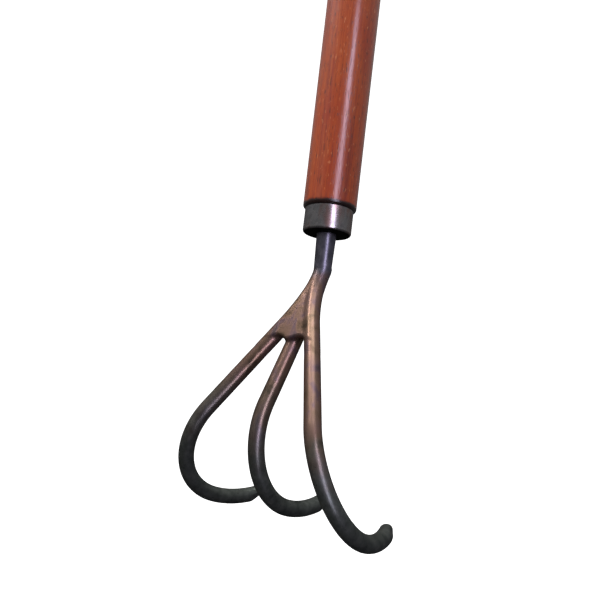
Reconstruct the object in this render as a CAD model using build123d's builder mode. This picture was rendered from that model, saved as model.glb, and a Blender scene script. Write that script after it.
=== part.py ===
from build123d import *

import os
from math import cos, radians, sin, tan

# Three-tined claw rake: a steel claw on a tang, driven into a turned hardwood handle.
#
# Frame: the origin is the middle of the handle's straight grip, +Z runs up the handle to its
# butt, and +X is the way the points of the tines face. The left tine lies at +Y and the right
# tine at -Y. Lengths are in millimetres and angles in degrees.

# Handle: a plain taper up from the shoulder, then a parallel grip with a rounded butt
HANDLE_FRONT_DIA = 30.0
HANDLE_GRIP_DIA = 32.0
HANDLE_TAPER_LENGTH = 200.0
HANDLE_GRIP_LENGTH = 180.0
BUTT_ROUND = 12.0
SHOULDER_ROUND = 1.6

# Ferrule: a drawn steel cup with a hole in its floor for the shank
FERRULE_DIA = 27.2
FERRULE_LENGTH = 14.0
FERRULE_WALL = 1.2
FERRULE_FLOOR = 1.6
FERRULE_LIP_ROUND = 0.4
FERRULE_FOOT_ROUND = 1.5

# Shank: a round collar through the ferrule, a square tang above it and a tapered stem below
COLLAR_DIA = 11.2
TANG_LENGTH = 95.0
TANG_BASE = 7.4
TANG_TIP = 3.2
TANG_CORNER = 0.6
NECK_DIA = 9.8
STEM_LENGTH = 21.0

# Palm: a flat web between the roots of the outer tines, thinned from its under side
PALM_DROP = 22.0
PALM_TILT = 25.5
APEX_OFFSET = 15.0
THROAT_WIDTH = 11.0
THROAT_SINK = 1.5
WEB_LENGTH = 30.0
WEB_THICKNESS = 5.0
ROOT_LENGTH = 44.0
WEB_LIP_ROUND = 1.2

# Tines: round rod, straight from the palm and then bent to a claw
TINE_DIA = 8.4
TINE_FAN = 26.0
OUTER_STRAIGHT = 80.5
MIDDLE_STRAIGHT = 63.5
MIDDLE_ROOT = 14.0
MIDDLE_SINK = 2.5
HOOK_RADIUS = 37.5
HOOK_TURN = 103.0
POINT_RADIUS = 56.0
POINT_TURN = 33.0
BEVEL_LENGTH = 8.0
BEVEL_DEPTH = 3.4
POINT_ROUND = 0.8

# The ferrule's mouth, measured from the middle of the grip
mouth_height = -(HANDLE_GRIP_LENGTH / 2 + HANDLE_TAPER_LENGTH + FERRULE_LENGTH)
shoulder_height = mouth_height + FERRULE_LENGTH
grip_start = shoulder_height + HANDLE_TAPER_LENGTH
butt_height = grip_start + HANDLE_GRIP_LENGTH + BUTT_ROUND
tang_seat = mouth_height + FERRULE_FLOOR
spigot_radius = FERRULE_DIA / 2 - FERRULE_WALL
tine_radius = TINE_DIA / 2

# Palm plane: it meets the handle's axis at its origin, X runs down the palm, Y to the left,
# and Z to the under side
tilt = radians(PALM_TILT)
down_palm = Vector(-sin(tilt), 0, -cos(tilt))
under_side = Vector(cos(tilt), 0, -sin(tilt))
palm_plane = Plane((0, 0, mouth_height - PALM_DROP), x_dir=down_palm, z_dir=under_side)
stem_end = mouth_height - STEM_LENGTH
web_edge = APEX_OFFSET + WEB_LENGTH
web_foot = palm_plane.from_local_coords((web_edge, 0, 0))
fan = radians(TINE_FAN)


def tang_section(height, width):
    """A cross-section of the tapered square tang and of its socket in the handle."""
    with BuildSketch(Plane.XY.offset(height)) as section:
        RectangleRounded(width, width, TANG_CORNER)
    return section.sketch


def palm_section(distance, sink, width, depth):
    """A cross-section of the palm, square to it at a distance down it from the handle's axis."""
    centre = palm_plane.from_local_coords((distance, 0, sink))
    with BuildSketch(Plane(centre, x_dir=palm_plane.y_dir, z_dir=down_palm)) as section:
        SlotOverall(width, depth)
    return section.sketch


def tine_axis(angle, sink):
    """The start plane of a tine: X along the rod, Y the way it bends, origin at its apex."""
    apex = palm_plane.from_local_coords((APEX_OFFSET, 0, sink))
    along = down_palm.rotate(Axis((0, 0, 0), under_side), angle)
    return Plane(apex, x_dir=along, z_dir=along.cross(under_side))


def rod_section(angle, sink, start):
    """The round section of a tine at a distance from its apex."""
    axis = tine_axis(angle, sink)
    with BuildSketch(Plane(axis.from_local_coords((start, 0, 0)), z_dir=axis.x_dir)) as section:
        Circle(tine_radius)
    return section.sketch


def make_tine(label, angle, sink, start, straight):
    """A tine: a straight run, a hook, an easier curve to the point and a bevel on its outside."""
    axis = tine_axis(angle, sink)
    with BuildPart() as tine:
        with BuildLine(axis) as route:
            run = Line((start, 0), (straight, 0))
            hook = JernArc(run @ 1, run % 1, HOOK_RADIUS, HOOK_TURN)
            point = JernArc(hook @ 1, hook % 1, POINT_RADIUS, POINT_TURN)
        sweep(rod_section(angle, sink, start), path=route.line)
        with BuildSketch(Plane(point @ 1, x_dir=point % 1, z_dir=axis.z_dir)):
            with BuildLine():
                Polyline(
                    (-2 * BEVEL_LENGTH, -tine_radius - BEVEL_DEPTH),
                    (BEVEL_LENGTH, 2 * BEVEL_DEPTH - tine_radius),
                    (BEVEL_LENGTH, -tine_radius - BEVEL_DEPTH),
                    close=True,
                )
            make_face()
        extrude(amount=TINE_DIA, both=True, mode=Mode.SUBTRACT)
        tip_faces = tine.faces().sort_by_distance(point @ 1)[:2]
        fillet(tip_faces.edges(), POINT_ROUND)
    tine.part.label = label
    export_step(tine.part, f"parts/{label}.step")


os.makedirs("parts", exist_ok=True)
tang_sections = [
    tang_section(tang_seat, TANG_BASE),
    tang_section(tang_seat + TANG_LENGTH, TANG_TIP),
]

# ---- Handle ----
with BuildPart() as handle:
    with BuildSketch(Plane.XZ):
        with BuildLine():
            Polyline(
                (0, tang_seat),
                (spigot_radius, tang_seat),
                (spigot_radius, shoulder_height),
                (HANDLE_FRONT_DIA / 2, shoulder_height),
                (HANDLE_GRIP_DIA / 2, grip_start),
                (HANDLE_GRIP_DIA / 2, butt_height),
                (0, butt_height),
                close=True,
            )
        make_face()
    revolve(axis=Axis.Z)
    shoulder_rim = handle.edges().filter_by(GeomType.CIRCLE).filter_by(
        lambda edge: abs(edge.radius - HANDLE_FRONT_DIA / 2) < SHOULDER_ROUND / 2
    )
    fillet(shoulder_rim, SHOULDER_ROUND)
    fillet(handle.faces().sort_by(Axis.Z)[-1].edges(), BUTT_ROUND)
    loft(tang_sections, mode=Mode.SUBTRACT)
handle.part.label = "handle"
export_step(handle.part, "parts/handle.step")

# ---- Ferrule ----
with BuildPart() as ferrule:
    with BuildSketch(Plane.XY.offset(mouth_height)):
        Circle(FERRULE_DIA / 2)
    extrude(amount=FERRULE_LENGTH)
    fillet(ferrule.faces().sort_by(Axis.Z)[0].edges(), FERRULE_FOOT_ROUND)
    fillet(ferrule.faces().sort_by(Axis.Z)[-1].edges(), FERRULE_LIP_ROUND)
    with BuildSketch(Plane.XY.offset(tang_seat)):
        Circle(spigot_radius)
    extrude(amount=FERRULE_LENGTH, mode=Mode.SUBTRACT)
    with BuildSketch(Plane.XY.offset(mouth_height)):
        Circle(COLLAR_DIA / 2)
    extrude(amount=FERRULE_FLOOR, mode=Mode.SUBTRACT)
ferrule.part.label = "ferrule"
export_step(ferrule.part, "parts/ferrule.step")

# ---- Shank ----
with BuildPart() as shank:
    loft(tang_sections)
    with BuildSketch(Plane.XY.offset(mouth_height)):
        Circle(COLLAR_DIA / 2)
    extrude(amount=FERRULE_FLOOR)
    with BuildSketch(Plane.XY.offset(mouth_height)):
        Circle(COLLAR_DIA / 2)
    with BuildSketch(Plane.XY.offset(stem_end)):
        Circle(NECK_DIA / 2)
    loft()
shank.part.label = "shank"
export_step(shank.part, "parts/shank.step")

# ---- Palm ----
outer_width = 2 * (WEB_LENGTH * tan(fan) + tine_radius / cos(fan))
with BuildSketch(Plane.XY.offset(stem_end)) as neck_section:
    Circle(NECK_DIA / 2)
palm_sections = [
    neck_section.sketch,
    palm_section(APEX_OFFSET, THROAT_SINK, THROAT_WIDTH, (NECK_DIA + TINE_DIA) / 2),
    palm_section(web_edge, 0, outer_width, TINE_DIA),
]
with BuildPart() as palm:
    loft(palm_sections, ruled=True)
    fillet(palm.faces().sort_by_distance(web_foot)[0].edges(), WEB_LIP_ROUND)
    for side in (-1, 1):
        extrude(rod_section(side * TINE_FAN, 0, 0), amount=ROOT_LENGTH)
    pocket_floor = palm_plane.offset(WEB_THICKNESS - tine_radius)
    with BuildSketch(pocket_floor):
        with BuildLine():
            Polyline(
                (APEX_OFFSET + tine_radius / sin(fan), 0),
                (web_edge, WEB_LENGTH * tan(fan) - tine_radius / cos(fan)),
                (web_edge, tine_radius / cos(fan) - WEB_LENGTH * tan(fan)),
                close=True,
            )
        make_face()
    extrude(amount=TINE_DIA, mode=Mode.SUBTRACT)
    extrude(rod_section(0, MIDDLE_SINK, MIDDLE_ROOT), amount=WEB_LENGTH, mode=Mode.SUBTRACT)
palm.part.label = "palm"
export_step(palm.part, "parts/palm.step")

make_tine("left_tine", TINE_FAN, 0, ROOT_LENGTH, OUTER_STRAIGHT)
make_tine("middle_tine", 0, MIDDLE_SINK, MIDDLE_ROOT, MIDDLE_STRAIGHT)
make_tine("right_tine", -TINE_FAN, 0, ROOT_LENGTH, OUTER_STRAIGHT)
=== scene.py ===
"""Claw rake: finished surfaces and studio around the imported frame. Metres, in the row frame."""
from math import ceil, cos, pi, radians, sin, sqrt, tan

import bpy
import numpy as np
from mathutils import Matrix, Vector, noise


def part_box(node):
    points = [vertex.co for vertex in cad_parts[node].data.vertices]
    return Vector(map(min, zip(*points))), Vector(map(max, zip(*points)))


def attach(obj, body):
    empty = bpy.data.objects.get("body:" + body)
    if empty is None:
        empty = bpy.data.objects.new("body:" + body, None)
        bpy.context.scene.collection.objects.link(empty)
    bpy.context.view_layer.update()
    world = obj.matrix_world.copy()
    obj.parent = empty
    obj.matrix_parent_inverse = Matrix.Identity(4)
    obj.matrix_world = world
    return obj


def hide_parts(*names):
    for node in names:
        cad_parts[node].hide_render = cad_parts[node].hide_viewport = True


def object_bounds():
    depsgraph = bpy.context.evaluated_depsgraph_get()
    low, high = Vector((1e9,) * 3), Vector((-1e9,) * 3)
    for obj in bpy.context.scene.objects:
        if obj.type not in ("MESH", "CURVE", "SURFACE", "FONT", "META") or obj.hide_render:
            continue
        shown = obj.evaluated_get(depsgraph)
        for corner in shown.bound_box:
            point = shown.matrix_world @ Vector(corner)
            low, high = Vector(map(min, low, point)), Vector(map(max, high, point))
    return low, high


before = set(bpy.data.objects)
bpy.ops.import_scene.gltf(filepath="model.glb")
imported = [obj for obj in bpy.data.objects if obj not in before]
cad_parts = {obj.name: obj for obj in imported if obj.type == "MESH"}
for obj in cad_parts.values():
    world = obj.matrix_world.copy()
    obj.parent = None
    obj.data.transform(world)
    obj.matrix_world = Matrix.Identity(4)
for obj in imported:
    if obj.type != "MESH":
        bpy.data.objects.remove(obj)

cad_low, cad_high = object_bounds()

# ---- Sizes ----
# From the frame
FERRULE_LOW, FERRULE_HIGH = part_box("ferrule")
HANDLE_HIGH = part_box("handle")[1]
MOUTH = FERRULE_LOW[2]
SHOULDER = FERRULE_HIGH[2]
BUTT = HANDLE_HIGH[2]
GRIP_RADIUS = HANDLE_HIGH[0]
FERRULE_RADIUS = FERRULE_HIGH[0]

# Handle
FRONT_RADIUS = 0.015
TAPER_LENGTH = 0.200
SHOULDER_ROUND = 0.0016
BUTT_ROUND = 0.012

# Ferrule
FERRULE_WALL = 0.0012
FERRULE_FLOOR = 0.0016
LIP_ROUND = 0.0005
FOOT_ROUND = 0.0015

# Shank and palm
COLLAR_RADIUS = 0.0056
NECK_RADIUS = 0.0049
STEM_LENGTH = 0.021
TANG_WIDTH = 0.0074
TANG_POINT = 0.3
STEM_END_SHARE = 0.5
PALM_DROP = 0.022
PALM_TILT = radians(25.5)
APEX_OFFSET = 0.015
WEB_LENGTH = 0.030
STEM_OVERLAP = 0.003
ROOT_OVERLAP = 0.003
WEB_TOP = -0.0040
WEB_UNDER = 0.0008
WEB_EDGE_ROUND = 0.0014
WEB_ARCH = 0.0022
STUB_LENGTH = 0.034
SEAM_SINK = 0.00022
SEAM_LENGTH = 0.010
NECK_WAIST = 0.0002
NECK_SINK = 0.0009
THROAT_RADIUS = 0.0046
THROAT_SPREAD = 0.019
STEM_FILLET = 0.0008
NECK_FILLET = 0.0012
ROOT_FILLET = 0.0028
CREST_FILLET = 0.0012
CREST_DEPTH = -0.0026
UNDER_DEPTH = 0.0010
STUB_FILLET = 0.0020
CELL = 0.0005
CELL_MARGIN = 0.0015
SETTLE_PASSES = 3
SLOPE_STEP = 1e-5
SLOPE_LEAST = 0.5

# Tines
TINE_RADIUS = 0.0042
TINE_FAN = radians(26)
ROOT_LENGTH = 0.044
OUTER_STRAIGHT = 0.0805
MIDDLE_STRAIGHT = 0.0635
MIDDLE_ROOT = 0.014
MIDDLE_SINK = 0.0025
HOOK_RADIUS = 0.0375
HOOK_TURN = radians(103)
POINT_RADIUS = 0.056
POINT_TURN = radians(33)
BEVEL_LENGTH = 0.008
POINT_ROUND = 0.0010
FACETS = ((radians(-38), 0.0030), (radians(-98), 0.0010))
TIP_TRIM = 0.0011

# How finely the meshes are cut
AXIS_GAP = 0.0005
COARSE_STEP = 0.004
WALL_STEP = 0.002
EDGE_STEP = 0.001
STEM_STEP = 0.0006
FINE_STEP = 0.0005
LIP_STEP = 0.0003
RING_STEP = 0.0008
TIP_STEP = 0.0003
TIP_LENGTH = 0.011
TINE_SIDES = 48
LATHE_SIDES = 128
ARC_STEPS = 10
END_INSETS = (0.6, 0.8)

# How uneven hand work leaves them: the share of the radius, and the lumps around and along
TINE_UNEVEN = 0.012
WOOD_UNEVEN = 0.004
STEEL_UNEVEN = 0.006
LATHE_LUMPS = (3, 60)
FERRULE_LUMPS = (2, 90)
TINE_LUMPS_ALONG = 90
TINE_WEAR_ALONG = 55

# Directions of the palm
DOWN_PALM = Vector((-sin(PALM_TILT), 0, -cos(PALM_TILT)))
UNDER_SIDE = Vector((cos(PALM_TILT), 0, -sin(PALM_TILT)))
LEFTWARD = Vector((0, 1, 0))
UPWARD = Vector((0, 0, 1))
PALM_ORIGIN = Vector((0, 0, MOUTH - PALM_DROP))
STEM_END = MOUTH - STEM_LENGTH


# ---- Meshes ----
def new_object(name, verts, faces):
    """A smooth-shaded mesh object from vertices and faces, linked to the scene."""
    mesh = bpy.data.meshes.new(name)
    mesh.from_pydata([tuple(v) for v in verts], [], faces)
    mesh.validate()
    mesh.polygons.foreach_set("use_smooth", [True] * len(mesh.polygons))
    piece = bpy.data.objects.new(name, mesh)
    bpy.context.scene.collection.objects.link(piece)
    return piece


def joined_rings(rings):
    """Vertices and faces of a closed skin through rings of equal size, with a point at each end."""
    sides = len(rings[0])
    verts = [v for ring in rings for v in ring]
    first, last = len(verts), len(verts) + 1
    verts += [sum(rings[0], Vector()) / sides, sum(rings[-1], Vector()) / sides]
    faces = []
    for k in range(len(rings) - 1):
        for i in range(sides):
            j = (i + 1) % sides
            faces.append((k * sides + i, k * sides + j, (k + 1) * sides + j, (k + 1) * sides + i))
    end = (len(rings) - 1) * sides
    for i in range(sides):
        j = (i + 1) % sides
        faces.append((first, j, i))
        faces.append((last, end + i, end + j))
    return verts, faces


def quarter(centre_r, centre_z, radius, start, turn):
    """Points of a round edge in the lathe's profile, as (radius, height)."""
    angles = [start + turn * k / ARC_STEPS for k in range(ARC_STEPS + 1)]
    return [(centre_r + radius * cos(a), centre_z + radius * sin(a)) for a in angles]


def run(start, end, step):
    """Points along a straight stretch of the lathe's profile, end left out."""
    length = sqrt((end[0] - start[0]) ** 2 + (end[1] - start[1]) ** 2)
    count = max(1, ceil(length / step))
    return [
        (start[0] + (end[0] - start[0]) * k / count, start[1] + (end[1] - start[1]) * k / count)
        for k in range(count)
    ]


def turned(profile, uneven, lumps, seed, smooth_within=0):
    """Rings of a profile turned round the handle's axis, a little uneven, and never outside it."""
    around, along = lumps
    rings = []
    for r, z in profile:
        ring = []
        for k in range(LATHE_SIDES):
            a = 2 * pi * k / LATHE_SIDES
            spot = Vector((around * cos(a) + seed, around * sin(a), along * z))
            scale = 1 - uneven * (0.5 + 0.5 * noise.noise(spot)) * (r > smooth_within)
            ring.append(Vector((r * scale * cos(a), r * scale * sin(a), z)))
        rings.append(ring)
    return rings


def make_handle():
    """The turned handle: spigot, rounded shoulder, taper, grip and rounded butt."""
    seat = MOUTH + FERRULE_FLOOR
    spigot = FERRULE_RADIUS - FERRULE_WALL
    rim = FRONT_RADIUS - SHOULDER_ROUND
    rim_top = SHOULDER + SHOULDER_ROUND
    grip_start = SHOULDER + TAPER_LENGTH
    crown = GRIP_RADIUS - BUTT_ROUND
    grip_end = BUTT - BUTT_ROUND
    profile = run((AXIS_GAP, seat), (spigot, seat), COARSE_STEP)
    profile += run((spigot, seat), (spigot, SHOULDER), COARSE_STEP)
    profile += run((spigot, SHOULDER), (rim, SHOULDER), FINE_STEP)
    profile += quarter(rim, rim_top, SHOULDER_ROUND, -pi / 2, pi / 2)
    profile += run((FRONT_RADIUS, rim_top), (GRIP_RADIUS, grip_start), WALL_STEP)[1:]
    profile += run((GRIP_RADIUS, grip_start), (GRIP_RADIUS, grip_end), WALL_STEP)
    profile += quarter(crown, grip_end, BUTT_ROUND, 0, pi / 2)
    profile += run((crown, BUTT), (AXIS_GAP, BUTT), EDGE_STEP)[1:]
    return new_object("handle_wood", *joined_rings(turned(profile, WOOD_UNEVEN, LATHE_LUMPS, 0)))


def make_ferrule():
    """The drawn cup: rounded foot, straight wall, rounded lip, and a floor with the shank's hole."""
    outer = FERRULE_RADIUS
    inner = outer - FERRULE_WALL
    hole = COLLAR_RADIUS
    floor = MOUTH + FERRULE_FLOOR
    lip = outer - LIP_ROUND
    foot = outer - FOOT_ROUND
    wall_top = SHOULDER - LIP_ROUND
    wall_foot = MOUTH + FOOT_ROUND
    profile = run((inner, floor), (inner, SHOULDER), WALL_STEP)
    profile += run((inner, SHOULDER), (lip, SHOULDER), LIP_STEP)
    profile += quarter(lip, wall_top, LIP_ROUND, pi / 2, -pi / 2)
    profile += run((outer, wall_top), (outer, wall_foot), STEM_STEP)[1:]
    profile += quarter(foot, wall_foot, FOOT_ROUND, 0, -pi / 2)
    profile += run((foot, MOUTH), (hole, MOUTH), EDGE_STEP)[1:]
    profile += run((hole, MOUTH), (hole, floor), FINE_STEP)
    profile += run((hole, floor), (inner, floor), WALL_STEP)
    rings = turned(profile, STEEL_UNEVEN, FERRULE_LUMPS, 7, smooth_within=inner)
    sides, count = LATHE_SIDES, len(rings)
    faces = []
    for k in range(count):
        ahead = (k + 1) % count
        for i in range(sides):
            j = (i + 1) % sides
            faces.append((k * sides + i, k * sides + j, ahead * sides + j, ahead * sides + i))
    return new_object("ferrule_cup", [v for ring in rings for v in ring], faces)


def make_shank():
    """The stem from the palm's neck into the ferrule, and the plain tang above it."""
    seat = MOUTH + FERRULE_FLOOR
    tang_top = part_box("shank")[1][2]
    profile = [(NECK_RADIUS * STEM_END_SHARE, STEM_END)]
    profile += run((NECK_RADIUS, STEM_END), (COLLAR_RADIUS, MOUTH), STEM_STEP)
    profile += run((COLLAR_RADIUS, MOUTH), (COLLAR_RADIUS, seat), STEM_STEP)
    profile += [(COLLAR_RADIUS, seat), (TANG_WIDTH / 2, seat), (TANG_WIDTH / 2 * TANG_POINT, tang_top)]
    return new_object("shank_stem", *joined_rings(turned(profile, STEEL_UNEVEN, LATHE_LUMPS, 11)))


def tine_ways(angle):
    """The directions of a tine: along its straight run, and towards the inside of its bend."""
    along = (DOWN_PALM * cos(angle) + LEFTWARD * sin(angle)).normalized()
    return along, UNDER_SIDE


def tine_path(angle, sink, start, straight):
    """A function of distance giving a point of a tine's centre line and its heading, and its length."""
    along, inward = tine_ways(angle)
    apex = PALM_ORIGIN + DOWN_PALM * APEX_OFFSET + UNDER_SIDE * sink

    def arc(origin, radius, begin, end):
        return origin + radius * (
            along * (sin(end) - sin(begin)) - inward * (cos(end) - cos(begin))
        )

    straight_end = straight - start
    hook_end = straight_end + HOOK_RADIUS * HOOK_TURN
    length = hook_end + POINT_RADIUS * POINT_TURN
    corner = apex + along * straight
    hook_foot = arc(corner, HOOK_RADIUS, 0, HOOK_TURN)

    def at(s):
        if s <= straight_end:
            return apex + along * (start + s), 0
        if s <= hook_end:
            heading = (s - straight_end) / HOOK_RADIUS
            return arc(corner, HOOK_RADIUS, 0, heading), heading
        heading = HOOK_TURN + (s - hook_end) / POINT_RADIUS
        return arc(hook_foot, POINT_RADIUS, HOOK_TURN, heading), heading

    return at, length - TIP_TRIM


def make_tine(name, angle, sink, start, straight, seed):
    """A bent rod with two hand-cut facets at its point."""
    along, inward = tine_ways(angle)
    side = along.cross(inward)
    at, length = tine_path(angle, sink, start - SEAM_LENGTH, straight)
    plain = length - TIP_LENGTH
    stations = [plain * k / ceil(plain / RING_STEP) for k in range(ceil(plain / RING_STEP))]
    fine = ceil((TIP_LENGTH - POINT_ROUND) / TIP_STEP)
    stations += [plain + (TIP_LENGTH - POINT_ROUND) * k / fine for k in range(fine)]
    stations += [length - POINT_ROUND * (1 - sin(pi / 2 * k / ARC_STEPS)) for k in range(ARC_STEPS + 1)]
    tip, tip_heading = at(length)
    tip_way = along * cos(tip_heading) + inward * sin(tip_heading)
    outside = along * sin(tip_heading) - inward * cos(tip_heading)
    facets = [(Matrix.Rotation(roll, 3, tip_way) @ outside, depth) for roll, depth in FACETS]

    def ring(s, shrink):
        centre, heading = at(s)
        normal = inward * cos(heading) - along * sin(heading)
        worn = noise.noise(Vector((s * TINE_WEAR_ALONG, seed, 0)))
        points = []
        for k in range(TINE_SIDES):
            a = 2 * pi * k / TINE_SIDES
            lump = noise.noise(Vector((cos(a) + seed, sin(a), s * TINE_LUMPS_ALONG)))
            radius = (TINE_RADIUS - shrink) * (1 - TINE_UNEVEN * (0.5 + 0.25 * worn + 0.25 * lump))
            radius -= SEAM_SINK * max(0, 1 - s / SEAM_LENGTH)
            point = centre + radius * (side * cos(a) + normal * sin(a))
            ahead = (point - tip).dot(tip_way) + BEVEL_LENGTH
            if ahead > 0 and s > length - 2 * TIP_LENGTH:
                for facing, depth in facets:
                    limit = TINE_RADIUS - ahead * depth / BEVEL_LENGTH
                    point = point - facing * max(0, (point - tip).dot(facing) - limit)
            points.append(point)
        return points

    rings = []
    for s in stations:
        ahead = max(0, s - (length - POINT_ROUND))
        rings.append(ring(s, POINT_ROUND - sqrt(max(0, POINT_ROUND ** 2 - ahead ** 2))))
    for inset in END_INSETS:
        rings.append(ring(length, POINT_ROUND + (TINE_RADIUS - POINT_ROUND) * inset))
    return new_object(name, *joined_rings(rings))


def rod_distance(points, start, end, start_radius, end_radius):
    """How far points are outside a round-ended bar that tapers from one radius to the other."""
    way = np.array(end) - np.array(start)
    offset = points - np.array(start)
    share = np.clip(offset @ way / (way @ way), 0, 1)
    radius = start_radius + (end_radius - start_radius) * share
    return np.linalg.norm(offset - share[:, None] * way, axis=1) - radius


def centre_line(down):
    """How far an outer root's centre line is from the middle, a smooth bend into its straight run."""
    ramp = np.clip(down + THROAT_SPREAD, 0, 2 * THROAT_SPREAD)
    spread = ramp ** 2 / (4 * THROAT_SPREAD) + np.maximum(down - THROAT_SPREAD, 0)
    return tan(TINE_FAN) * spread, tan(TINE_FAN) * ramp / (2 * THROAT_SPREAD)


def palm_directions(points):
    """Distances down the palm from its apex, away from its middle, and towards its underside."""
    offset = points - np.array(PALM_ORIGIN + DOWN_PALM * APEX_OFFSET)
    return offset @ np.array(DOWN_PALM), np.abs(offset @ np.array(LEFTWARD)), offset @ np.array(UNDER_SIDE)


def root_distance(points):
    """How far points are outside the two outer roots, which leave the neck in a smooth bend."""
    down, aside, depth = palm_directions(points)
    line, slope = centre_line(down)
    full = (ROOT_LENGTH - SEAM_LENGTH + ROOT_OVERLAP) * cos(TINE_FAN)
    end = (ROOT_LENGTH + ROOT_OVERLAP) * cos(TINE_FAN)
    sunk = SEAM_SINK * np.clip((down - full) / (end - full), 0, 1)
    round_bar = np.hypot((aside - line) / np.sqrt(1 + slope ** 2), depth) - (TINE_RADIUS - sunk)
    return np.maximum(round_bar, np.maximum(down - end, -THROAT_SPREAD - down))


def web_distance(points):
    """How far points are outside the web between the outer roots, arched between each pair of tines."""
    down, aside, depth = palm_directions(points)
    line, slope = centre_line(down)
    bay = tan(TINE_FAN) * WEB_LENGTH
    arch = WEB_ARCH * np.sin(np.clip(aside / bay, 0, 1) * pi) ** 2
    middle = (WEB_TOP + WEB_UNDER) / 2
    inset = np.stack([
        down + arch - (WEB_LENGTH - WEB_EDGE_ROUND),
        -THROAT_SPREAD - down,
        np.abs(depth - middle) - ((WEB_UNDER - WEB_TOP) / 2 - WEB_EDGE_ROUND),
        (aside - line) / np.sqrt(1 + slope ** 2),
    ])
    outer = np.linalg.norm(np.maximum(inset, 0), axis=0)
    return outer + np.minimum(inset.max(axis=0), 0) - WEB_EDGE_ROUND


def blended(a, b, reach):
    """The smooth union of two distances: a fillet about reach wide where they meet."""
    share = np.maximum(reach - np.abs(a - b), 0) / reach
    return np.minimum(a, b) - share * share * reach / 4


def palm_distance(points):
    """How far points are outside the forged palm, with its joints run out in fillets."""
    apex = PALM_ORIGIN + DOWN_PALM * APEX_OFFSET
    neck_top = Vector((0, 0, STEM_END))
    waist = NECK_RADIUS - NECK_WAIST
    stem = rod_distance(points, neck_top + UPWARD * STEM_OVERLAP, neck_top, NECK_RADIUS - SEAM_SINK, waist)
    neck = rod_distance(points, neck_top, apex + UNDER_SIDE * NECK_SINK, waist, THROAT_RADIUS)
    depth = palm_directions(points)[2]
    fillet = np.interp(depth, (CREST_DEPTH, UNDER_DEPTH), (CREST_FILLET, ROOT_FILLET))
    arms = blended(root_distance(points), web_distance(points), fillet)
    body = blended(blended(stem, neck, STEM_FILLET), arms, NECK_FILLET)
    middle = apex + UNDER_SIDE * MIDDLE_SINK
    stub_start = middle + DOWN_PALM * MIDDLE_ROOT
    stub_end = middle + DOWN_PALM * STUB_LENGTH
    stub = rod_distance(points, stub_start, stub_end, TINE_RADIUS, TINE_RADIUS - SEAM_SINK)
    return blended(body, stub, STUB_FILLET)


def settled(points):
    """Points moved on to the palm's surface along its slope."""
    for _ in range(SETTLE_PASSES):
        here = palm_distance(points)
        slope = np.stack([
            palm_distance(points + step) - palm_distance(points - step)
            for step in SLOPE_STEP * np.eye(3)
        ], axis=1) / (2 * SLOPE_STEP)
        steep = np.maximum(np.linalg.norm(slope, axis=1), SLOPE_LEAST)
        points = points - slope * (here / steep ** 2)[:, None]
    return points


def skin_of(distance, low, high):
    """Points and four-sided faces of the surface where a distance is nought, one point in each cell."""
    axes = [np.arange(low[k], high[k] + CELL, CELL) for k in range(3)]
    shape = tuple(len(axis) for axis in axes)
    grid = np.stack(np.meshgrid(*axes, indexing="ij"), axis=-1)
    field = distance(grid.reshape(-1, 3)).reshape(shape)
    inside = field < 0
    cells = tuple(n - 1 for n in shape)
    total, crossings = np.zeros(cells + (3,)), np.zeros(cells)
    edges = []
    for axis in range(3):
        ahead = [slice(None)] * 3
        behind = [slice(None)] * 3
        ahead[axis], behind[axis] = slice(1, None), slice(None, -1)
        ahead, behind = tuple(ahead), tuple(behind)
        crossed = inside[ahead] != inside[behind]
        share = np.where(crossed, field[behind] / (field[behind] - field[ahead] + ~crossed), 0)
        place = grid[behind] + CELL * share[..., None] * np.eye(3)[axis]
        others = [k for k in range(3) if k != axis]
        for first in (0, 1):
            for second in (0, 1):
                pick = [slice(None)] * 3
                pick[others[0]] = slice(first, first + cells[others[0]])
                pick[others[1]] = slice(second, second + cells[others[1]])
                pick = tuple(pick)
                total += place[pick] * crossed[pick][..., None]
                crossings += crossed[pick]
        edges.append((axis, others, crossed, inside[behind]))
    used = crossings > 0
    number = np.full(cells, -1)
    number[used] = np.arange(used.sum())
    faces = []
    for axis, (one, two), crossed, solid in edges:
        at = np.argwhere(crossed)
        at = at[(at[:, one] > 0) & (at[:, two] > 0)]
        corners = []
        for first, second in ((1, 1), (0, 1), (0, 0), (1, 0)):
            step = np.zeros(3, int)
            step[one], step[two] = first, second
            corners.append(number[tuple((at - step).T)])
        quads = np.stack(corners, axis=1)
        turned = solid[tuple(at.T)] == (axis == 1)
        quads[turned] = quads[turned][:, ::-1]
        faces.append(quads)
    return total[used] / crossings[used][:, None], np.concatenate(faces)


def make_palm():
    """The forged palm and the stubs it runs into, as one skin with soft fillets."""
    reach = APEX_OFFSET + ROOT_LENGTH + ROOT_OVERLAP
    half_width = (ROOT_LENGTH + ROOT_OVERLAP) * sin(TINE_FAN) + TINE_RADIUS + CELL_MARGIN
    down = PALM_ORIGIN + DOWN_PALM * reach
    low = (down.x - TINE_RADIUS - CELL_MARGIN, -half_width, down.z - TINE_RADIUS - CELL_MARGIN)
    high = (NECK_RADIUS + 2 * CELL_MARGIN, half_width, STEM_END + STEM_OVERLAP + NECK_RADIUS + CELL_MARGIN)
    points, faces = skin_of(palm_distance, low, high)
    return new_object("palm_forging", settled(points), faces.tolist())


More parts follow.
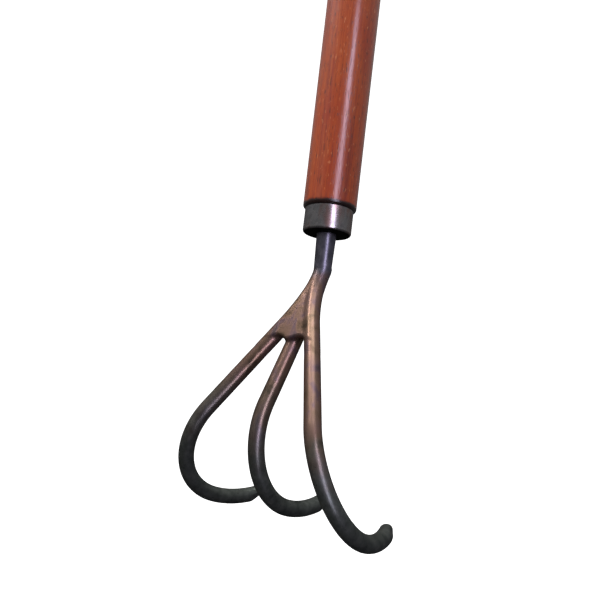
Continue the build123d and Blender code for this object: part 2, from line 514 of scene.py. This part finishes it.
# ---- Materials ----
# Where the finishes, the painted shade and the painted glints begin and end, as heights on the rake
SHOULDER_SHADE = (SHOULDER + 0.0008, SHOULDER + 0.0026)
BUTT_WEAR = (BUTT - 0.010, BUTT)
FROSTING = (SHOULDER, SHOULDER + 0.090)
TOP_RIM_GLINT = (SHOULDER - 0.0014, SHOULDER - 0.0002)
FOOT_RIM_GLINT = (MOUTH + 0.0012, MOUTH + 0.0026)
FOOT_SHADE = (MOUTH + 0.0001, MOUTH + 0.0007)
HEAT_TINT = (-0.434, -0.400)
SEAM_TINT = (-0.402, -0.377)
BLUE_TINT = (STEM_END - 0.009, STEM_END + 0.003)
BARE_POINT = (-0.448, -0.458)


class Shader:
    """A material's node tree, with short calls for the nodes that the finishes are made of."""

    def __init__(self, name):
        self.material = bpy.data.materials.new(name)
        self.material.use_nodes = True
        self.tree = self.material.node_tree
        self.surface = self.tree.nodes["Principled BSDF"]
        self.place = self.tree.nodes.new("ShaderNodeTexCoord").outputs["Object"]

    def put(self, socket, value):
        """Links an output to a socket, or sets the socket's own value."""
        if isinstance(value, bpy.types.NodeSocket):
            self.tree.links.new(value, socket)
        elif isinstance(value, tuple) and len(value) == 3 and len(socket.default_value) == 4:
            socket.default_value = (*value, 1)
        else:
            socket.default_value = value

    def stretched(self, scale):
        node = self.tree.nodes.new("ShaderNodeMapping")
        self.put(node.inputs["Vector"], self.place)
        self.put(node.inputs["Scale"], scale)
        return node.outputs["Vector"]

    def noise(self, size, detail=3.0, rough=0.55, stretch=(1, 1, 1), twist=0.0):
        """Noise whose features are about size metres across."""
        node = self.tree.nodes.new("ShaderNodeTexNoise")
        self.put(node.inputs["Vector"], self.stretched(stretch))
        self.put(node.inputs["Scale"], 1 / size)
        self.put(node.inputs["Detail"], detail)
        self.put(node.inputs["Roughness"], rough)
        self.put(node.inputs["Distortion"], twist)
        return node.outputs["Fac"]

    def ramp(self, value, *stops):
        """A colour ramp of (position, colour or grey)."""
        node = self.tree.nodes.new("ShaderNodeValToRGB")
        self.put(node.inputs["Fac"], value)
        steps = node.color_ramp.elements
        while len(steps) < len(stops):
            steps.new(0.5)
        for step, (position, colour) in zip(steps, stops):
            step.position = position
            step.color = (*colour, 1) if isinstance(colour, tuple) else (colour, colour, colour, 1)
        return node.outputs["Color"]

    def mix(self, share, a, b, kind="MIX"):
        node = self.tree.nodes.new("ShaderNodeMix")
        node.data_type = "RGBA"
        node.blend_type = kind
        self.put(node.inputs["Factor"], share)
        self.put(node.inputs["A"], a)
        self.put(node.inputs["B"], b)
        return node.outputs["Result"]

    def combine(self, kind, a, b):
        """One step of arithmetic, named as Blender names it."""
        node = self.tree.nodes.new("ShaderNodeMath")
        node.operation = kind
        self.put(node.inputs[0], a)
        self.put(node.inputs[1], b)
        return node.outputs["Value"]

    def height(self):
        node = self.tree.nodes.new("ShaderNodeSeparateXYZ")
        self.put(node.inputs["Vector"], self.place)
        return node.outputs["Z"]

    def fade(self, value, low, high, to_low=0.0, to_high=1.0):
        """A smooth step from to_low to to_high as value goes from low to high."""
        node = self.tree.nodes.new("ShaderNodeMapRange")
        node.interpolation_type = "SMOOTHSTEP"
        for socket, amount in zip(("Value", "From Min", "From Max", "To Min", "To Max"),
                                  (value, low, high, to_low, to_high)):
            self.put(node.inputs[socket], amount)
        return node.outputs["Result"]

    def bump(self, height, strength, depth, under=None):
        node = self.tree.nodes.new("ShaderNodeBump")
        self.put(node.inputs["Height"], height)
        self.put(node.inputs["Strength"], strength)
        self.put(node.inputs["Distance"], depth)
        if under:
            self.put(node.inputs["Normal"], under)
        return node.outputs["Normal"]

    def finish(self, **sockets):
        for name, value in sockets.items():
            self.put(self.surface.inputs[name.replace("_", " ")], value)
        return self.material


def varnished_wood():
    """Red-brown open-pored hardwood under gloss varnish, with painted shade at the shoulder and worn at the
    ends.
    """
    s = Shader("varnished_wood")
    z = s.height()
    along = (1, 1, 0.035)
    figure = s.noise(0.0045, 5, 0.6, along, 0.5)
    fibre = s.noise(0.0011, 4, 0.65, (1, 1, 0.045))
    pores = s.noise(0.00055, 2, 0.5, (1, 1, 0.13))
    fleck = s.noise(0.0009, 2, 0.5, (1, 1, 0.22))
    patches = s.noise(0.018, 2, 0.5, (1, 1, 0.4))
    colour = s.ramp(figure, (0.28, (0.100, 0.014, 0.005)), (0.44, (0.235, 0.034, 0.010)),
                    (0.56, (0.330, 0.052, 0.007)), (0.74, (0.135, 0.017, 0.005)))
    colour = s.mix(s.ramp(fibre, (0.42, 0.0), (0.72, 0.60)), colour, (0.400, 0.082, 0.014))
    colour = s.mix(s.ramp(patches, (0.40, 0.0), (0.70, 0.50)), colour, (0.230, 0.014, 0.006))
    pore_mask = s.ramp(pores, (0.60, 0.0), (0.68, 0.75))
    colour = s.mix(pore_mask, colour, (0.050, 0.014, 0.006))
    colour = s.mix(s.ramp(fleck, (0.66, 0.0), (0.72, 0.55)), colour, (0.60, 0.22, 0.085))
    # Painted shade: a near-black band with a ragged edge on the wood just above the ferrule's top.
    ragged = s.combine("MULTIPLY", s.noise(0.003, 3), 0.0016)
    shoulder_shade = s.fade(s.combine("SUBTRACT", z, ragged), *SHOULDER_SHADE, 0.97, 0.0)
    colour = s.mix(shoulder_shade, colour, (0.006, 0.004, 0.004))
    worn = s.fade(z, *BUTT_WEAR, 0.0, 0.7)
    rubbed = s.combine("MULTIPLY", worn, s.ramp(s.noise(0.004, 4), (0.4, 0.0), (0.65, 1.0)))
    colour = s.mix(rubbed, colour, (0.40, 0.17, 0.075))
    gloss = s.ramp(s.noise(0.010, 4, 0.6, (1, 1, 0.3)), (0.35, 0.40), (0.7, 0.55))
    grain = s.bump(s.combine("ADD", pore_mask, s.combine("MULTIPLY", fibre, 0.5)), 0.35, 0.00010)
    ripple = s.bump(s.noise(0.0022, 3, 0.6, (1, 1, 0.18)), 0.30, 0.00016, grain)
    frosting = s.noise(0.0008, 3, 0.6, (1, 1, 0.5))
    frost = s.bump(frosting, s.fade(z, *FROSTING, 0.75, 0.16), 0.00012, ripple)
    return s.finish(Base_Color=colour, Roughness=gloss, Normal=frost, Specular_IOR_Level=0.12,
                    Coat_Weight=1.0, Coat_Roughness=0.19, Coat_IOR=1.62, Coat_Normal=frost)


def ferrule_steel():
    """Polished steel, darkened, with turning lines, tarnish, rust tints that also stand for a painted warm
    reflection, and painted glints on the rims.
    """
    s = Shader("ferrule_steel")
    z = s.height()
    tarnish = s.noise(0.0035, 5, 0.6)
    colour = s.ramp(tarnish, (0.30, (0.250, 0.245, 0.260)), (0.52, (0.380, 0.370, 0.385)),
                    (0.75, (0.460, 0.440, 0.450)))
    # Warm patches, partly rust and partly a painted warm reflection.
    rust_and_warm_reflection = s.ramp(s.noise(0.006, 3, 0.5, (1, 1, 0.3)), (0.46, 0.0), (0.62, 0.6))
    colour = s.mix(rust_and_warm_reflection, colour, (0.330, 0.160, 0.120))
    # Painted glints: bright bands along the top rim and the rounded foot.
    rim_glints = s.combine("ADD", s.fade(z, *TOP_RIM_GLINT), s.fade(z, *FOOT_RIM_GLINT, 1.0, 0.0))
    rim_glints = s.combine("MULTIPLY", rim_glints, s.ramp(s.noise(0.0025, 3), (0.40, 0.0), (0.62, 0.8)))
    colour = s.mix(rim_glints, colour, (0.52, 0.50, 0.50))
    # Painted shade: the foot and the underside darkened to near black, and made rougher.
    foot = s.fade(z, *FOOT_SHADE, 1.0, 0.0)
    colour = s.mix(foot, colour, (0.012, 0.013, 0.011))
    rough = s.combine("ADD", s.ramp(tarnish, (0.35, 0.32), (0.70, 0.22)), s.combine("MULTIPLY", foot, 0.35))
    lines = s.bump(s.noise(0.0010, 3, 0.6, (0.05, 0.05, 1)), 0.12, 0.00003)
    dents = s.bump(s.noise(0.0060, 2, 0.5), 0.16, 0.00012, lines)
    return s.finish(Base_Color=colour, Metallic=1.0, Roughness=rough, Normal=dents,
                    Specular_Tint=(0.5, 0.5, 0.5))


def claw_steel(name, heat, blued):
    """Oxidised steel: heat tints where it was welded and a dull black skin towards the points."""
    s = Shader(name)
    z = s.height()
    drift = s.combine("MULTIPLY", s.combine("SUBTRACT", s.noise(0.010, 4), 0.5), 0.030)
    level = s.combine("ADD", z, drift)
    tints = s.noise(0.0075, 3, 0.5, (1, 1, 0.45), 0.4)
    hot = s.ramp(tints, (0.30, (0.105, 0.075, 0.052)), (0.43, (0.215, 0.140, 0.100)),
                 (0.55, (0.235, 0.148, 0.122)), (0.66, (0.160, 0.108, 0.122)),
                 (0.80, (0.090, 0.085, 0.062)))
    cold = s.ramp(s.noise(0.0045, 5, 0.6), (0.30, (0.080, 0.092, 0.083)), (0.55, (0.140, 0.156, 0.142)),
                  (0.78, (0.210, 0.224, 0.204)))
    near_seam = s.fade(z, *SEAM_TINT, 0.0, 1 - heat)
    heat_share = s.combine("ADD", s.fade(level, *HEAT_TINT, 0.0, heat), near_seam)
    colour = s.mix(heat_share, cold, hot)
    blue = s.ramp(s.noise(0.004, 4), (0.3, (0.100, 0.102, 0.128)), (0.7, (0.190, 0.188, 0.225)))
    colour = s.mix(s.fade(level, *BLUE_TINT, 0.0, blued), colour, blue)
    pits = s.ramp(s.noise(0.0011, 2), (0.24, 1.0), (0.30, 0.0))
    colour = s.mix(s.combine("MULTIPLY", pits, 0.8), colour, (0.010, 0.008, 0.007))
    scratch = s.ramp(s.noise(0.0007, 2, 0.5, (1, 1, 0.10)), (0.68, 0.0), (0.78, 0.22))
    colour = s.mix(scratch, colour, (0.22, 0.20, 0.19))
    rubbing = s.ramp(s.noise(0.003, 4), (0.52, 0.0), (0.72, 0.5))
    bare = s.combine("MULTIPLY", s.fade(z, *BARE_POINT), rubbing)
    colour = s.mix(bare, colour, (0.115, 0.115, 0.108))
    uneven = s.combine("MULTIPLY", s.combine("SUBTRACT", tints, 0.5), 0.25)
    rough = s.combine("ADD", s.fade(level, *HEAT_TINT, 0.38, 0.34), uneven)
    skin = s.bump(s.noise(0.0006, 4, 0.65), 0.07, 0.00005)
    drawn = s.bump(s.noise(0.0014, 3, 0.5, (1, 1, 0.12)), 0.06, 0.00005, skin)
    hammered = s.bump(s.noise(0.0060, 2, 0.5), 0.22, 0.00022, drawn)
    pitted = s.bump(s.combine("SUBTRACT", 1.0, pits), 0.35, 0.00010, hammered)
    return s.finish(Base_Color=colour, Metallic=0.85, Roughness=rough, Normal=pitted,
                    Specular_Tint=(0.35, 0.35, 0.35))


def plain(name, colour, glow):
    """Matt white card that glows, so that it looks white without any light of its own."""
    s = Shader(name)
    speckle = s.noise(0.02, 3)
    shade = s.mix(speckle, colour, tuple(c * 0.985 for c in colour))
    return s.finish(Base_Color=shade, Roughness=0.8, Emission_Color=(1.0, 1.0, 1.0), Emission_Strength=glow)


# ---- The rake ----
TINES = [
    ("left_tine", TINE_FAN, 0, ROOT_LENGTH, OUTER_STRAIGHT, 0.32),
    ("middle_tine", 0, MIDDLE_SINK, MIDDLE_ROOT, MIDDLE_STRAIGHT, 0.7),
    ("right_tine", -TINE_FAN, 0, ROOT_LENGTH, OUTER_STRAIGHT, 1.0),
]
PIECES = [
    (make_handle(), "handle", "varnished_wood", varnished_wood()),
    (make_ferrule(), "ferrule", "ferrule_steel", ferrule_steel()),
    (make_shank(), "shank", "forged_steel", claw_steel("stem_steel", 1.0, 1.0)),
    (make_palm(), "palm", "palm_steel", claw_steel("palm_steel", 1.0, 1.0)),
]
for seed, (node, angle, sink, root, straight, heat) in enumerate(TINES, 1):
    tine_rod = make_tine(node + "_rod", angle, sink, root, straight, seed)
    PIECES.append((tine_rod, node, "tine_steel", claw_steel(node + "_steel", heat, 0.0)))
for piece, node, slot, material in PIECES:
    piece.data.materials.clear()
    piece.data.materials.append(material)
    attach(piece, "root")
    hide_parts(node)

# ---- Studio ----
FLOOR_DROP = 0.25
STAGE_RADIUS = 6.0
FLOOR_SIDES = 96
DOME_ROWS = 24
DOME_SIDES = 48
CARD = (0.92, 0.92, 0.92)
FLOOR_GLOW = 1.1
BACKDROP_GLOW = 1.2
WORLD_LIGHT = ((0.0, 0.02), (0.45, 0.07), (0.62, 0.17), (1.0, 0.42))


def staged_disc():
    """The pale floor, well below the rake, which is shown held up."""
    z = cad_low[2] - FLOOR_DROP
    turns = [2 * pi * k / FLOOR_SIDES for k in range(FLOOR_SIDES)]
    verts = [Vector((STAGE_RADIUS * cos(a), STAGE_RADIUS * sin(a), z)) for a in turns]
    return new_object("studio_floor", verts, [tuple(range(FLOOR_SIDES))])


def staged_dome():
    """The white backdrop, a sphere round the whole studio."""
    rings = []
    for r in range(1, DOME_ROWS):
        tilt = pi * r / DOME_ROWS
        rings.append([
            Vector((
                STAGE_RADIUS * sin(tilt) * cos(2 * pi * k / DOME_SIDES),
                STAGE_RADIUS * sin(tilt) * sin(2 * pi * k / DOME_SIDES),
                STAGE_RADIUS * cos(tilt),
            ))
            for k in range(DOME_SIDES)
        ])
    return new_object("studio_backdrop", *joined_rings(rings))


for stage, glow in ((staged_disc(), FLOOR_GLOW), (staged_dome(), BACKDROP_GLOW)):
    stage.data.materials.append(plain(stage.name + "_white", CARD, glow))
    stage.visible_diffuse = False
    stage.visible_glossy = False
    stage.visible_shadow = False


def area_light(name, place, target, size, power, colour):
    lamp = bpy.data.lights.new(name, "AREA")
    lamp.shape = "RECTANGLE"
    lamp.size, lamp.size_y = size
    lamp.energy = power
    lamp.color = colour
    light = bpy.data.objects.new(name, lamp)
    bpy.context.scene.collection.objects.link(light)
    light.location = place
    light.rotation_euler = (Vector(target) - Vector(place)).to_track_quat("-Z", "Y").to_euler()
    return light


CAMERA_PLACE = Vector((-0.244695, -0.198506, -0.385087))
CAMERA_RIGHT = Vector((0.638, -0.76075, 0.11925))
CAMERA_UP = Vector((-0.18021, 0.00306, 0.98362))
CAMERA_BACK = Vector((-0.74865, -0.64904, -0.13514))
LENS = 34.858

TARGET = (0, 0, -0.36)


def around(right, up, back):
    """A light's place, measured from the target along the photo view's own directions."""
    return Vector(TARGET) + CAMERA_RIGHT * right + UPWARD * up + CAMERA_BACK * back


key = area_light("key", around(-0.85, 0.35, 0.55), TARGET, (0.6, 0.9), 5.6, (1.0, 0.97, 0.93))
key.visible_glossy = False
area_light("strip", around(0.30, 0.20, 0.85), TARGET, (0.24, 1.2), 6.0, (0.84, 0.76, 1.0))
area_light("web_light", around(-0.52, 1.02, -0.08), TARGET, (0.45, 0.45), 8.5, (1.0, 0.94, 0.88))
area_light("top", around(0.0, 1.10, 0.15), TARGET, (0.5, 0.5), 4.0, (1.0, 1.0, 1.0))


def studio_world():
    """Soft light from all round, strong from above and weak from below."""
    world = bpy.data.worlds.new("studio")
    world.use_nodes = True
    links, nodes = world.node_tree.links, world.node_tree.nodes
    way = nodes.new("ShaderNodeSeparateXYZ")
    links.new(nodes.new("ShaderNodeTexCoord").outputs["Generated"], way.inputs["Vector"])
    rise = nodes.new("ShaderNodeMapRange")
    links.new(way.outputs["Z"], rise.inputs["Value"])
    rise.inputs["From Min"].default_value = -1
    tone = nodes.new("ShaderNodeValToRGB")
    links.new(rise.outputs["Result"], tone.inputs["Fac"])
    steps = tone.color_ramp.elements
    while len(steps) < len(WORLD_LIGHT):
        steps.new(0.5)
    for step, (position, grey) in zip(steps, WORLD_LIGHT):
        step.position = position
        step.color = (grey, grey, grey, 1)
    links.new(tone.outputs["Color"], nodes["Background"].inputs["Color"])
    return world


bpy.context.scene.world = studio_world()

# ---- Camera ----
lens = bpy.data.cameras.new("photo_view")
lens.sensor_width = 36
lens.lens = LENS
lens.clip_start = 0.01
camera = bpy.data.objects.new("photo_view", lens)
bpy.context.scene.collection.objects.link(camera)
camera.matrix_world = Matrix((
    (CAMERA_RIGHT.x, CAMERA_UP.x, CAMERA_BACK.x, CAMERA_PLACE.x),
    (CAMERA_RIGHT.y, CAMERA_UP.y, CAMERA_BACK.y, CAMERA_PLACE.y),
    (CAMERA_RIGHT.z, CAMERA_UP.z, CAMERA_BACK.z, CAMERA_PLACE.z),
    (0, 0, 0, 1),
))
bpy.context.scene.camera = camera
bpy.context.scene.view_settings.view_transform = "Standard"
